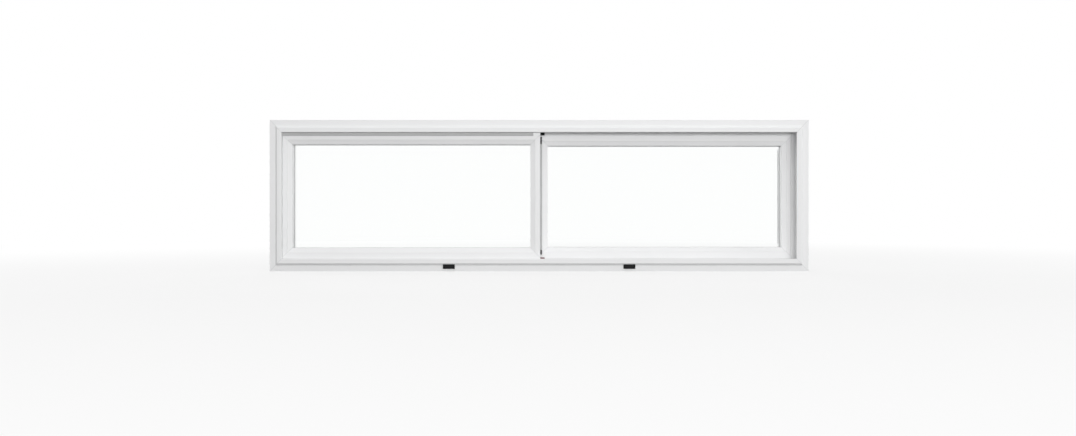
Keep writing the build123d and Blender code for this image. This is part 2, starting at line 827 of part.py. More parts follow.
# Pull rail: a hooked strip bonded to the inside face of the rear sash's jamb stile
pull_back = outside + second_track + sash_thickness
pull_x = jamb_edge - sash_face + pull_rail_inset + pull_rail_base / 2
with BuildPart() as pull_rail:
    with BuildSketch(Plane.XY.offset(sash_middle - pull_length / 2)):
        with Locations((pull_x, pull_back + pull_rail_thickness / 2)):
            Rectangle(pull_rail_base, pull_rail_thickness)
        with Locations((pull_x, pull_back + pull_rail_height / 2)):
            Rectangle(pull_rail_thickness, pull_rail_height)
        hook_y = pull_back + pull_rail_height - pull_rail_thickness / 2
        with Locations((pull_x - pull_rail_hook / 2, hook_y)):
            Rectangle(pull_rail_hook + pull_rail_thickness, pull_rail_thickness)
    extrude(amount=pull_length)
save(pull_rail, "pull_rail")
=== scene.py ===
import json
import math

import bmesh
import bpy
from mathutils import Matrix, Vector

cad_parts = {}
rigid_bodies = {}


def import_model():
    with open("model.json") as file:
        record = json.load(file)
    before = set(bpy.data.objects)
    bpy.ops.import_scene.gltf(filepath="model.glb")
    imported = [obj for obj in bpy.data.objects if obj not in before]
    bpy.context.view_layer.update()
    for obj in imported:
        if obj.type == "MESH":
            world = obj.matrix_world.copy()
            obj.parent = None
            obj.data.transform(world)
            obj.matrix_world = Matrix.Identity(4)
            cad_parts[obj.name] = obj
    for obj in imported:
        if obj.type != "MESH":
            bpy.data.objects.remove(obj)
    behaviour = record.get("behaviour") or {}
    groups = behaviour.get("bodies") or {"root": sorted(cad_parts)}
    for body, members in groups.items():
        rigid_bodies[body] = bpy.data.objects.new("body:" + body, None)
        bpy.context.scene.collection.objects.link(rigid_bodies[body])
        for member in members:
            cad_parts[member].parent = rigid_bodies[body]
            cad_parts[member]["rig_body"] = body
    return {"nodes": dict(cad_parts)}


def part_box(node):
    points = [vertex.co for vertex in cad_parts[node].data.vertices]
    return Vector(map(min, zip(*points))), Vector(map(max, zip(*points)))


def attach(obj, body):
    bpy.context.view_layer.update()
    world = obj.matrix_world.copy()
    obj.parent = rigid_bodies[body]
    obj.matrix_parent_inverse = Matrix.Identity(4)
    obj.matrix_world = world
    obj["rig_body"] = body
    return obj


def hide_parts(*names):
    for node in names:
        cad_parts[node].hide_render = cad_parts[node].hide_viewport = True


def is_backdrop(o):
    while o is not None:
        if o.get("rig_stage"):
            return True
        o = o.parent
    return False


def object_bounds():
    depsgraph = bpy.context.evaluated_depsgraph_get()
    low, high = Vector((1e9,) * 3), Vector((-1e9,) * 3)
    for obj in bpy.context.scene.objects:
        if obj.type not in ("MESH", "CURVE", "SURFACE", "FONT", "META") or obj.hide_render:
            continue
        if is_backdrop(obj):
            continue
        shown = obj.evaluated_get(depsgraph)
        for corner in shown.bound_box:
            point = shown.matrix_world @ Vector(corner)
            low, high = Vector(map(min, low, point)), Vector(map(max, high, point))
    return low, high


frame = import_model()
nodes = frame["nodes"]
cad_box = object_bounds()


# Outer frame: four lengths of one hollow white vinyl extrusion, mitred and fused at the corners.
# A sloped shoulder leads up to the lip in front of the sashes. The welds are cleaned back to a
# fine groove, and the die leaves faint lines along each bar.
VINYL_WHITE = (0.895, 0.897, 0.900, 1)
VINYL_SHADE = (0.850, 0.853, 0.858, 1)
VINYL_WELD = (0.770, 0.775, 0.780, 1)
VINYL_ROUGHNESS = 0.36
CLOUD_SIZE = 0.15
CLOUD_SHARE = 0.75
DIE_LINE_PITCH = 0.0011
DIE_LINE_LENGTH = 300
DIE_LINE_MATT = 0.05
PEEL_SIZE = 0.0035
PEEL_DEPTH = 0.000012
PEEL_SHARE = 0.7
PEEL_MATT = 0.06
WELD_HALF_WIDTH = 0.0012
WELD_MATT = 0.12
WELD_SINK = 2.5
FRAME_EASE = 0.00025
EASE_STEPS = 2
SHARP_FROM = math.radians(32)
FLAT_WITHIN = math.radians(0.4)
SAME_POINT = 0.000002


class Wire:
    """One shader socket of a finish; sums and products of wires add the Math nodes they need."""

    def __init__(self, finish, socket):
        self.finish = finish
        self.socket = socket

    def math(self, operation, *values):
        return self.finish.node("ShaderNodeMath", {"operation": operation}, dict(enumerate(values)))

    def __add__(self, other):
        return self.math("ADD", self, other)

    def __sub__(self, other):
        return self.math("SUBTRACT", self, other)

    def __rsub__(self, other):
        return self.math("SUBTRACT", other, self)

    def __mul__(self, other):
        return self.math("MULTIPLY", self, other)

    def __truediv__(self, other):
        return self.math("DIVIDE", self, other)

    def __pow__(self, other):
        return self.math("POWER", self, other)

    def __abs__(self):
        return self.math("ABSOLUTE", self)

    __radd__ = __add__
    __rmul__ = __mul__

    def step(self, low, high):
        """0 at low and 1 at high, with a soft rise between them."""
        sockets = {"Value": self, "From Min": low, "From Max": high}
        return self.finish.node("ShaderNodeMapRange", {"interpolation_type": "SMOOTHSTEP"}, sockets)


class Finish:
    """A procedural material read on object coordinates, so that it moves with its sash."""

    def __init__(self, name, **fixed):
        self.material = bpy.data.materials.new(name)
        self.material.use_nodes = True
        self.tree = self.material.node_tree
        self.shader = self.tree.nodes["Principled BSDF"]
        for socket, value in fixed.items():
            self.shader.inputs[socket.replace("_", " ")].default_value = value

    def node(self, kind, settings=None, sockets=None, output=0):
        """Add a node: its settings first, then the values or wires of its sockets."""
        made = self.tree.nodes.new(kind)
        for name, value in (settings or {}).items():
            setattr(made, name, value)
        for key, value in (sockets or {}).items():
            self.plug(made.inputs[key], value)
        return Wire(self, made.outputs[output])

    def plug(self, socket, value):
        if isinstance(value, Wire):
            self.tree.links.new(value.socket, socket)
        else:
            socket.default_value = value

    def place(self):
        return self.node("ShaderNodeTexCoord", output="Object")

    def along(self, axis):
        """Distance from the origin along X, Y or Z."""
        return self.node("ShaderNodeSeparateXYZ", {}, {0: self.place()}, output=axis)

    def noise(self, size, stretch=(1, 1, 1), detail=2.0):
        """Noise with lumps of this size in metres, drawn out along an axis by stretch."""
        scale = tuple(1 / (size * factor) for factor in stretch)
        spread = self.node("ShaderNodeMapping", {}, {"Vector": self.place(), "Scale": scale})
        sockets = {"Vector": spread, "Scale": 1.0, "Detail": detail}
        return self.node("ShaderNodeTexNoise", {}, sockets)

    def blend(self, share, first, second):
        """Colour between two colours."""
        return self.node("ShaderNodeMix", {"data_type": "RGBA"}, {0: share, 6: first, 7: second}, 2)

    def surface(self, colour=None, roughness=None, height=None, depth=0.0):
        """Connect what varies over the surface and return the material."""
        if colour:
            self.plug(self.shader.inputs["Base Color"], colour)
        if roughness:
            self.plug(self.shader.inputs["Roughness"], roughness)
        if height:
            bump = self.node("ShaderNodeBump", {}, {"Height": height, "Distance": depth})
            self.plug(self.shader.inputs["Normal"], bump)
        return self.material


def vinyl(name, along_z, sight_low, sight_high):
    """Satin white vinyl with die lines along the bar, and a duller line at the welded mitres.

    The mitres run at 45 degrees through the corners of the sight opening.
    """
    finish = Finish(name, IOR=1.53)
    stretch = (1, 1, DIE_LINE_LENGTH) if along_z else (DIE_LINE_LENGTH, 1, 1)
    die_lines = finish.noise(DIE_LINE_PITCH, stretch, detail=1.0)
    peel = finish.noise(PEEL_SIZE)
    cloud = finish.noise(CLOUD_SIZE)
    middle_x = (sight_low[0] + sight_high[0]) / 2
    middle_z = (sight_low[1] + sight_high[1]) / 2
    beyond_x = abs(finish.along("X") - middle_x) - (sight_high[0] - middle_x)
    beyond_z = abs(finish.along("Z") - middle_z) - (sight_high[1] - middle_z)
    weld = 1 - abs(beyond_x - beyond_z).step(WELD_HALF_WIDTH / 2, WELD_HALF_WIDTH)
    shade = cloud * CLOUD_SHARE + die_lines * (1 - CLOUD_SHARE)
    colour = finish.blend(weld, finish.blend(shade, VINYL_WHITE, VINYL_SHADE), VINYL_WELD)
    matt = peel * PEEL_MATT + die_lines * DIE_LINE_MATT + weld * WELD_MATT
    roughness = VINYL_ROUGHNESS + matt
    height = peel * PEEL_SHARE + die_lines * (1 - PEEL_SHARE) - weld * WELD_SINK
    return finish.surface(colour, roughness, height, PEEL_DEPTH)


def settle(piece):
    """Turn the evaluated piece into a plain mesh and take its modifiers off."""
    bpy.context.view_layer.update()
    view = bpy.context.evaluated_depsgraph_get()
    mesh = bpy.data.meshes.new_from_object(piece.evaluated_get(view), depsgraph=view)
    piece.modifiers.clear()
    mesh.name = piece.name
    piece.data = mesh
    return piece


def new_piece(name, mesh):
    piece = bpy.data.objects.new(name, mesh)
    bpy.context.scene.collection.objects.link(piece)
    return piece


def joined(node):
    """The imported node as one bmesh, its loose facets joined into flat faces."""
    shape = bmesh.new()
    shape.from_mesh(nodes[node].data)
    bmesh.ops.remove_doubles(shape, verts=shape.verts, dist=SAME_POINT)
    bmesh.ops.dissolve_limit(
        shape, angle_limit=FLAT_WITHIN, verts=shape.verts, edges=shape.edges
    )
    return shape


def eased(node, width):
    """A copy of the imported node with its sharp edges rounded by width."""
    shape = joined(node)
    mesh = bpy.data.meshes.new(f"{node}_eased")
    shape.to_mesh(mesh)
    shape.free()
    mesh.polygons.foreach_set("use_smooth", [True] * len(mesh.polygons))
    piece = new_piece(f"{node}_eased", mesh)
    bevel = piece.modifiers.new("eased edges", "BEVEL")
    bevel.width = width
    bevel.segments = EASE_STEPS
    bevel.limit_method = "ANGLE"
    bevel.angle_limit = SHARP_FROM
    weighted = piece.modifiers.new("flat faces", "WEIGHTED_NORMAL")
    weighted.keep_sharp = True
    return settle(piece)


def stand_for(piece, node, material=None):
    """The piece takes the node's place and body, and the material if one is given."""
    if material:
        piece.data.materials.clear()
        piece.data.materials.append(material)
    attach(piece, nodes[node]["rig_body"])
    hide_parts(node)
    return piece


def dress(node, material):
    """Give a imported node, whose own shape shows, its material."""
    nodes[node].data.materials.clear()
    nodes[node].data.materials.append(material)


frame_low, frame_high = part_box("frame_head")
sill_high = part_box("frame_sill")[1]
jamb_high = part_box("frame_jamb_left")[1]
daylight_low = (jamb_high.x, sill_high.z)
daylight_high = (-jamb_high.x, frame_low.z)
flat_vinyl = vinyl("white_vinyl_flat", False, daylight_low, daylight_high)
upright_vinyl = vinyl("white_vinyl_upright", True, daylight_low, daylight_high)
for member in ("frame_head", "frame_sill"):
    stand_for(eased(member, FRAME_EASE), member, flat_vinyl)
for member in ("frame_jamb_left", "frame_jamb_right"):
    stand_for(eased(member, FRAME_EASE), member, upright_vinyl)


# Weep covers: two black moulded hoods pushed over the drain slots in the sill's face. The
# moulding has a fine spark-eroded grain and is a little duller in patches.
COVER_BLACK = (0.006, 0.006, 0.0065, 1)
COVER_GREY = (0.011, 0.011, 0.012, 1)
COVER_ROUGHNESS = 0.5
COVER_SPECULAR = 0.2
COVER_EASE = 0.00025
MOULD_GRAIN = 0.0004
MOULD_DEPTH = 0.00002
MOULD_PATCH = 0.01
MOULD_PATCH_MATT = 0.08


def moulded(name, first, second, rough, grain=MOULD_GRAIN, depth=MOULD_DEPTH, specular=0.5):
    """Moulded plastic, coat or rubber with a fine even grain and patches of a second colour."""
    finish = Finish(name, Specular_IOR_Level=specular)
    fine = finish.noise(grain, detail=1.0)
    patch = finish.noise(MOULD_PATCH)
    roughness = rough + patch * MOULD_PATCH_MATT
    return finish.surface(finish.blend(patch, first, second), roughness, fine, depth)


cover_plastic = moulded(
    "weep_cover_black", COVER_BLACK, COVER_GREY, COVER_ROUGHNESS, specular=COVER_SPECULAR
)
for side in ("left", "right"):
    stand_for(eased(f"weep_cover_{side}", COVER_EASE), f"weep_cover_{side}", cover_plastic)


# Dust plugs and interlock end pads: blocks of dense pile that close the corners where the
# sashes meet. The head's plug and both pads are black and the sill's plug is dull red, and
# short fibres stand out all round.
FIBRE_RADIUS = 0.00016
FIBRE_SIDES = 3
FIBRE_LEAN = 0.5
FIBRE_SHORTEST = 0.75
PLUG_FIBRE = 0.0006
PLUG_FIBRES_PER_M2 = 1.6e6
PILE_BLACK = (0.008, 0.008, 0.009, 1)
PILE_BLACK_TIP = (0.03, 0.03, 0.032, 1)
PILE_RED = (0.22, 0.12, 0.125, 1)
PILE_RED_TIP = (0.36, 0.25, 0.255, 1)
PILE_TUFT = 0.0006
PILE_ROUGHNESS = 0.8
PILE_TUFT_MATT = 0.15


def fibre_pile(name, root, tip):
    """Matt fibres, lighter here and there where their ends catch the light."""
    finish = Finish(name, Specular_IOR_Level=0.2, Sheen_Weight=0.15)
    tuft = finish.noise(PILE_TUFT, detail=3.0)
    return finish.surface(finish.blend(tuft, root, tip), PILE_ROUGHNESS + tuft * PILE_TUFT_MATT)


def tree_builder(tree):
    """A call that adds a node to the tree: its settings first, then its sockets by name."""

    def add(kind, settings=None, **sockets):
        made = tree.nodes.new(kind)
        for name, value in (settings or {}).items():
            setattr(made, name, value)
        for name, value in sockets.items():
            socket = made.inputs[name.replace("_", " ")]
            if isinstance(value, bpy.types.NodeSocket):
                tree.links.new(value, socket)
            else:
                socket.default_value = value
        return made

    return add


def fibre_tree():
    """Geometry Nodes: short cut fibres standing on the faces of the backing marked to grow."""
    tree = bpy.data.node_groups.new("pile_fibres", "GeometryNodeTree")
    face = tree.interface
    face.new_socket("Backing", in_out="INPUT", socket_type="NodeSocketGeometry")
    for name in ("Fibres per m2", "Length", "Radius", "Lean"):
        face.new_socket(name, in_out="INPUT", socket_type="NodeSocketFloat")
    face.new_socket("Seed", in_out="INPUT", socket_type="NodeSocketInt")
    face.new_socket("Material", in_out="INPUT", socket_type="NodeSocketMaterial")
    face.new_socket("Pile", in_out="OUTPUT", socket_type="NodeSocketGeometry")
    add = tree_builder(tree)

    given = add("NodeGroupInput").outputs
    grows = add("GeometryNodeInputNamedAttribute", {"data_type": "BOOLEAN"}, Name="grows")
    points = add(
        "GeometryNodeDistributePointsOnFaces",
        {"distribute_method": "RANDOM"},
        Mesh=given["Backing"],
        Selection=grows.outputs["Attribute"],
        Density=given["Fibres per m2"],
        Seed=given["Seed"],
    )
    fibre = add(
        "GeometryNodeMeshCone",
        {"fill_type": "NGON"},
        Vertices=FIBRE_SIDES,
        Radius_Top=0.0,
        Radius_Bottom=given["Radius"],
        Depth=given["Length"],
    )
    lean = add("FunctionNodeRandomValue", {"data_type": "FLOAT_VECTOR"}, Seed=given["Seed"])
    spread = add("ShaderNodeVectorMath", {"operation": "SCALE"}, Scale=given["Lean"])
    centred = add("ShaderNodeVectorMath", {"operation": "SUBTRACT"})
    centred.inputs[1].default_value = (0.5, 0.5, 0.5)
    tree.links.new(lean.outputs["Value"], centred.inputs[0])
    tree.links.new(centred.outputs[0], spread.inputs[0])
    turned = add("FunctionNodeRotateEuler", {"rotation_type": "EULER", "space": "LOCAL"})
    tree.links.new(points.outputs["Rotation"], turned.inputs[0])
    tree.links.new(spread.outputs[0], turned.inputs[1])
    size = add("FunctionNodeRandomValue", {"data_type": "FLOAT"}, Seed=given["Seed"])
    size.inputs[2].default_value = FIBRE_SHORTEST
    size.inputs[3].default_value = 1.0
    placed = add(
        "GeometryNodeInstanceOnPoints",
        Points=points.outputs["Points"],
        Instance=fibre.outputs["Mesh"],
        Rotation=turned.outputs[0],
    )
    tree.links.new(size.outputs[1], placed.inputs["Scale"])
    solid = add("GeometryNodeRealizeInstances", Geometry=placed.outputs["Instances"])
    both = add("GeometryNodeJoinGeometry")
    tree.links.new(solid.outputs[0], both.inputs[0])
    tree.links.new(given["Backing"], both.inputs[0])
    painted = add("GeometryNodeSetMaterial", Geometry=both.outputs[0], Material=given["Material"])
    out = add("NodeGroupOutput")
    tree.links.new(painted.outputs[0], out.inputs["Pile"])
    return tree


FIBRES = fibre_tree()


def set_inputs(modifier, **values):
    """Set a modifier's inputs by the identifiers of its sockets."""
    for item in modifier.node_group.interface.items_tree:
        key = item.name.replace(" ", "_")
        if item.in_out == "INPUT" and key in values:
            modifier[item.identifier] = values[key]


def boxes_mesh(name, boxes):
    """One mesh of closed boxes: lowest corner, highest corner, side that grows pile or None."""
    shape = bmesh.new()
    grows = shape.faces.layers.int.new("grows")
    for low, high, side in boxes:
        made = bmesh.ops.create_cube(shape, size=1.0)["verts"]
        bmesh.ops.scale(shape, vec=high - low, verts=made)
        bmesh.ops.translate(shape, vec=(low + high) / 2, verts=made)
        for face in {face for vert in made for face in vert.link_faces}:
            face.normal_update()
            face[grows] = side is None or face.normal.dot(Vector(side)) > 0.5
    mesh = bpy.data.meshes.new(name)
    shape.to_mesh(mesh)
    shape.free()
    return mesh


def solids_of(node):
    """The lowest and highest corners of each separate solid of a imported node."""
    shape = joined(node)
    found = []
    left = set(shape.verts)
    while left:
        grown = {left.pop()}
        edge = list(grown)
        while edge:
            near = {link.other_vert(vert) for vert in edge for link in vert.link_edges} - grown
            grown |= near
            edge = list(near)
        left -= grown
        places = [vert.co for vert in grown]
        low = Vector([min(place[i] for place in places) for i in range(3)])
        high = Vector([max(place[i] for place in places) for i in range(3)])
        found.append((low, high))
    shape.free()
    return sorted(found, key=lambda box: tuple(round(value, 5) for value in (*box[0], *box[1])))


def grown_pile(name, material, length, per_m2, boxes, seed):
    """Backing boxes with fibres on their growing sides."""
    piece = new_piece(name, boxes_mesh(f"{name}_backing", boxes))
    grown = piece.modifiers.new("fibres", "NODES")
    grown.node_group = FIBRES
    set_inputs(
        grown,
        Fibres_per_m2=per_m2,
        Length=length,
        Radius=FIBRE_RADIUS,
        Lean=FIBRE_LEAN,
        Seed=seed,
        Material=material,
    )
    return settle(piece)


def furry(node, *pile):
    """Pile that stands for the node."""
    return stand_for(grown_pile(f"{node}_fibres", *pile), node)


black_pile = fibre_pile("black_pile", PILE_BLACK, PILE_BLACK_TIP)
red_pile = fibre_pile("red_pile", PILE_RED, PILE_RED_TIP)


def shrunk(boxes, room):
    """The same boxes, smaller by room on every side."""
    inset = Vector((room, room, room))
    return [(low + inset, high - inset, None) for low, high in boxes]


pile_blocks = (
    ("head_dust_plug", black_pile, 1),
    ("sill_dust_plug", red_pile, 2),
    ("interlock_end_pads", black_pile, 3),
)
for node, material, seed in pile_blocks:
    cores = shrunk(solids_of(node), PLUG_FIBRE)
    furry(node, material, PLUG_FIBRE, PLUG_FIBRES_PER_M2, cores, seed)


# Sash rails and stiles: slimmer hollow extrusions of the same vinyl, welded at the corners. Each
# sash's welds lie on the mitres through the corners of its own glass opening.
SASH_EASE = 0.00022
upright_sides = {"front": ("jamb_stile", "meeting_stile"), "rear": ("meeting_stile", "jamb_stile")}
sash_vinyl = {}
for sash, stiles in upright_sides.items():
    sight_low = (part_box(f"{sash}_bead_left")[1].x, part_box(f"{sash}_bead_bottom")[1].z)
    sight_high = (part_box(f"{sash}_bead_right")[0].x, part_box(f"{sash}_bead_top")[0].z)
    across = vinyl(f"{sash}_rail_vinyl", False, sight_low, sight_high)
    along = vinyl(f"{sash}_stile_vinyl", True, sight_low, sight_high)
    sash_vinyl[sash] = {"flat": across, "upright": along}
    for bar in ("top_rail", "bottom_rail"):
        stand_for(eased(f"{sash}_{bar}", SASH_EASE), f"{sash}_{bar}", across)
    for bar in stiles:
        stand_for(eased(f"{sash}_{bar}", SASH_EASE), f"{sash}_{bar}", along)


# Glazing beads: thin strips snapped into the sashes round the glass, cut at 45 degrees. The cut
# ends meet in a fine open line.
BEAD_EASE = 0.00018
for sash in sash_vinyl:
    for side in ("top", "bottom", "left", "right"):
        lie = "flat" if side in ("top", "bottom") else "upright"
        bead = f"{sash}_bead_{side}"
        stand_for(eased(bead, BEAD_EASE), bead, sash_vinyl[sash][lie])


# Sealed glass units: two clear float panes, a perforated metal spacer filled with drying beads,
# a black sealant round it and rubber setting blocks underneath.
GLASS_TINT = (0.9955, 0.998, 0.9968, 1)
GLASS_MIRROR = 0.035
SPACER_METAL = (0.86, 0.865, 0.87, 1)
SPACER_HOLE_SHADE = (0.10, 0.10, 0.10, 1)
SPACER_ROUGHNESS = 0.35
ROLLED_SIZE = 0.0008
ROLLED_MATT = 0.1
ROLLED_SHARE = 0.3
HOLE_PITCH = 0.0028
HOLE_SHARE = 0.17
HOLE_RIM = 0.8
HOLE_DEPTH = 0.00006
SEALANT_BLACK = (0.010, 0.010, 0.011, 1)
SEALANT_GREY = (0.028, 0.028, 0.030, 1)
SEALANT_ROUGHNESS = 0.55
SEALANT_GRAIN = 0.0015
SEALANT_DEPTH = 0.0002
RUBBER_BLACK = (0.016, 0.016, 0.016, 1)
RUBBER_DUST = (0.06, 0.06, 0.058, 1)
RUBBER_ROUGHNESS = 0.7
RUBBER_GRAIN = 0.0008


def clear_glass():
    """Clear glass that lets straight light through and mirrors a little at each face."""
    finish = Finish("clear_glass")
    through = finish.node("ShaderNodeBsdfTransparent", {}, {"Color": GLASS_TINT})
    mirror = finish.node("ShaderNodeBsdfGlossy", {}, {"Color": (1, 1, 1, 1), "Roughness": 0.0})
    slant = finish.node("ShaderNodeLayerWeight", {}, {"Blend": 0.5}, output="Facing")
    gloss = GLASS_MIRROR + slant**5 * (1 - GLASS_MIRROR)
    mixed = finish.node("ShaderNodeMixShader", {}, {0: gloss, 1: through, 2: mirror})
    finish.plug(finish.tree.nodes["Material Output"].inputs["Surface"], mixed)
    finish.tree.nodes.remove(finish.shader)
    return finish.material


def perforated(name, low, high):
    """Rolled metal ring between two corners, with small holes down the middle of each side, dented
    by bump and painted dark as the shade inside them.
    """
    finish = Finish(name, Metallic=1.0)
    middle = (low + high) / 2
    beyond_x = abs(finish.along("X") - middle.x) - (high.x - middle.x)
    beyond_z = abs(finish.along("Z") - middle.z) - (high.z - middle.z)
    upright = beyond_x.math("GREATER_THAN", beyond_x, beyond_z)
    along = (finish.along("X") + upright * (finish.along("Z") - finish.along("X"))) / HOLE_PITCH
    off_centre = abs(along.math("FRACT", along) - 0.5)
    across = abs(finish.along("Y") - middle.y) / HOLE_PITCH
    away = (off_centre * off_centre + across * across) ** 0.5
    hole = 1 - away.step(HOLE_SHARE * HOLE_RIM, HOLE_SHARE)
    rolled = finish.noise(ROLLED_SIZE)
    # The holes are painted dark: painted shade standing for the hollow behind each one.
    colour = finish.blend(hole, SPACER_METAL, SPACER_HOLE_SHADE)
    roughness = SPACER_ROUGHNESS + rolled * ROLLED_MATT
    return finish.surface(colour, roughness, rolled * ROLLED_SHARE - hole, HOLE_DEPTH)


glass = clear_glass()
sealant = moulded(
    "edge_sealant", SEALANT_BLACK, SEALANT_GREY, SEALANT_ROUGHNESS, SEALANT_GRAIN, SEALANT_DEPTH
)
rubber = moulded("block_rubber", RUBBER_BLACK, RUBBER_DUST, RUBBER_ROUGHNESS, RUBBER_GRAIN)
for sash in sash_vinyl:
    for pane in ("outer_pane", "inner_pane"):
        dress(f"{sash}_{pane}", glass)
    dress(f"{sash}_edge_seal", sealant)
    dress(f"{sash}_setting_blocks", rubber)
    dress(f"{sash}_spacer", perforated(f"{sash}_spacer_metal", *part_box(f"{sash}_spacer")))


# Pile seals: grey woven pile strips in grooves of each sash, with a broad one under the head's
# lip on the front sash. Only the pile stands out of the groove.
SEAL_PILE = 0.0009
SEAL_FIBRES_PER_M2 = 9.0e5
PILE_GREY = (0.42, 0.42, 0.422, 1)
PILE_GREY_TIP = (0.66, 0.66, 0.662, 1)
grey_pile = fibre_pile("grey_pile", PILE_GREY, PILE_GREY_TIP)
for seed, sash in ((11, "front"), (12, "rear")):
    rail_low, rail_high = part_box(f"{sash}_top_rail")
    middle_y = (rail_low.y + rail_high.y) / 2
    strips = []
    for low, high in solids_of(f"{sash}_pile_seals"):
        if low.y < middle_y:
            strips.append((low + Vector((0, SEAL_PILE, 0)), high, (0, -1, 0)))
        else:
            strips.append((low, high - Vector((0, SEAL_PILE, 0)), (0, 1, 0)))
    furry(f"{sash}_pile_seals", grey_pile, SEAL_PILE, SEAL_FIBRES_PER_M2, strips, seed)


# Interlocks: hooked vinyl strips on the meeting stiles that pass into each other when the
# sashes close. A grey fin of pile beside the front one fills the gap between the end pads.
for sash in sash_vinyl:
    hook = f"{sash}_interlock"
    stand_for(eased(hook, BEAD_EASE), hook, sash_vinyl[sash]["upright"])
bottom_pad, top_pad = sorted(solids_of("interlock_end_pads"), key=lambda pad: pad[0].z)
fin_low = Vector((bottom_pad[0].x, bottom_pad[0].y, bottom_pad[1].z))
fin_high = Vector((top_pad[1].x, top_pad[1].y, top_pad[0].z))
fin_core = shrunk([(fin_low, fin_high)], PLUG_FIBRE)
fin = grown_pile("interlock_fin", grey_pile, PLUG_FIBRE, SEAL_FIBRES_PER_M2, fin_core, 13)
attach(fin, nodes["interlock_end_pads"]["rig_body"])


# Rollers: grooved nylon wheels on steel axles, each in a moulded housing under the sash. The
# wheels are a little worn, and the axles are zinc plated and show fine turning marks.
NYLON_CREAM = (0.70, 0.69, 0.65, 1)
NYLON_DUST = (0.60, 0.585, 0.54, 1)
WHEEL_GREY = (0.24, 0.245, 0.25, 1)
WHEEL_WORN = (0.33, 0.335, 0.34, 1)
HOUSING_ROUGHNESS = 0.45
WHEEL_ROUGHNESS = 0.3
STEEL_BRIGHT = (0.60, 0.60, 0.61, 1)
STEEL_DULL = (0.42, 0.42, 0.43, 1)
STEEL_ROUGHNESS = 0.25
ROLLER_EASE = 0.0002
TURNING_MARKS = 0.0004
MARK_MATT = 0.15
MARK_DEPTH = 0.00001
METAL_PATCH = 0.006
METAL_PATCH_MATT = 0.1


def bright_metal(name, bright, dull, rough, marks_size):
    """Bare or plated metal with fine tool marks and duller patches."""
    finish = Finish(name, Metallic=1.0)
    marks = finish.noise(marks_size)
    patch = finish.noise(METAL_PATCH)
    roughness = rough + marks * MARK_MATT + patch * METAL_PATCH_MATT
    return finish.surface(finish.blend(patch, bright, dull), roughness, marks, MARK_DEPTH)


housing_nylon = moulded("housing_nylon", NYLON_CREAM, NYLON_DUST, HOUSING_ROUGHNESS)
wheel_nylon = moulded("wheel_nylon", WHEEL_GREY, WHEEL_WORN, WHEEL_ROUGHNESS)
steel = bright_metal(
    "zinc_plated_steel", STEEL_BRIGHT, STEEL_DULL, STEEL_ROUGHNESS, TURNING_MARKS
)
roller_parts = {"roller_housing": housing_nylon, "wheel": wheel_nylon, "axle": steel}
for sash in sash_vinyl:
    for end in ("left", "right"):
        for part, finish in roller_parts.items():
            node = f"{sash}_{part}_{end}"
            stand_for(eased(node, ROLLER_EASE), node, finish)


# Cam lock: a die-cast base on the meeting stile's edge, a hooked cam behind its lever and a lever
# with a raised thumb ridge. Base and lever are powder coated white, the cam is bare zinc.
COAT_WHITE = (0.80, 0.80, 0.80, 1)
COAT_SHADE = (0.76, 0.76, 0.765, 1)
COAT_ROUGHNESS = 0.4
COAT_PEEL = 0.0009
COAT_DEPTH = 0.00004
ZINC_BRIGHT = (0.50, 0.51, 0.53, 1)
ZINC_DULL = (0.34, 0.35, 0.37, 1)
ZINC_ROUGHNESS = 0.4
CAST_GRAIN = 0.0007
LOCK_EASE = 0.0003
LEVER_TIP_RADIUS = 0.004
LEVER_EDGE = 0.0012
LEVER_CROWN = 0.0004
CROWN_REACH = 0.9
CROWN_STEPS = 3
RIDGE_WIDTH = 0.0015
RIDGE_HEIGHT = 0.0015
RIDGE_EDGE = 0.4 * RIDGE_WIDTH
RIDGE_LENGTH_SHARE = 0.8
ARC_STEPS = 24
EDGE_STEPS = 6
coat = moulded(
    "powder_coat_white", COAT_WHITE, COAT_SHADE, COAT_ROUGHNESS, COAT_PEEL, COAT_DEPTH
)
cast_zinc = bright_metal("cast_zinc", ZINC_BRIGHT, ZINC_DULL, ZINC_ROUGHNESS, CAST_GRAIN)
for node, finish in (("lock_base", coat), ("lock_cam", cast_zinc)):
    stand_for(eased(node, LOCK_EASE), node, finish)


def taper_outline(wide, narrow, inset):
    """Points round two circles (y, z, radius) and their outer tangents, inset by so much."""
    (y0, z0, radius0), (y1, z1, radius1) = wide, narrow
    span = math.hypot(y1 - y0, z1 - z0)
    heading = math.atan2(z1 - z0, y1 - y0)
    opening = math.acos((radius0 - radius1) / span)
    points = []
    for (y, z, radius), start, sweep in (
        (narrow, -opening, 2 * opening),
        (wide, opening, 2 * math.pi - 2 * opening),
    ):
        for i in range(ARC_STEPS + 1):
            angle = heading + start + sweep * i / ARC_STEPS
            reach = radius - inset
            points.append((y + reach * math.cos(angle), z + reach * math.sin(angle)))
    return points


def soft_slab(shape, wide, narrow, back, front, edge, crown=0.0):
    """Closed slab from back to front along -X, its front edge rounded and its face crowned."""
    back_edge = edge / 6
    rings = [(back, back_edge), (back - back_edge, 0.0)]
    for i in range(EDGE_STEPS + 1):
        angle = math.pi / 2 * i / EDGE_STEPS
        rings.append((front + crown + edge * (1 - math.sin(angle)), edge * (1 - math.cos(angle))))
    smaller = min(wide[2], narrow[2]) - edge
    for i in range(1, CROWN_STEPS + 1):
        share = i / CROWN_STEPS
        rings.append((front + crown * (1 - share) ** 2, edge + smaller * CROWN_REACH * share))
    loops = []
    for x, inset in rings:
        outline = taper_outline(wide, narrow, inset)
        loops.append([shape.verts.new((x, y, z)) for y, z in outline])
    for lower, upper in zip(loops, loops[1:]):
        for i, vert in enumerate(lower):
            after = (i + 1) % len(lower)
            shape.faces.new((vert, lower[after], upper[after], upper[i]))
    shape.faces.new(list(reversed(loops[0])))
    shape.faces.new(loops[-1])


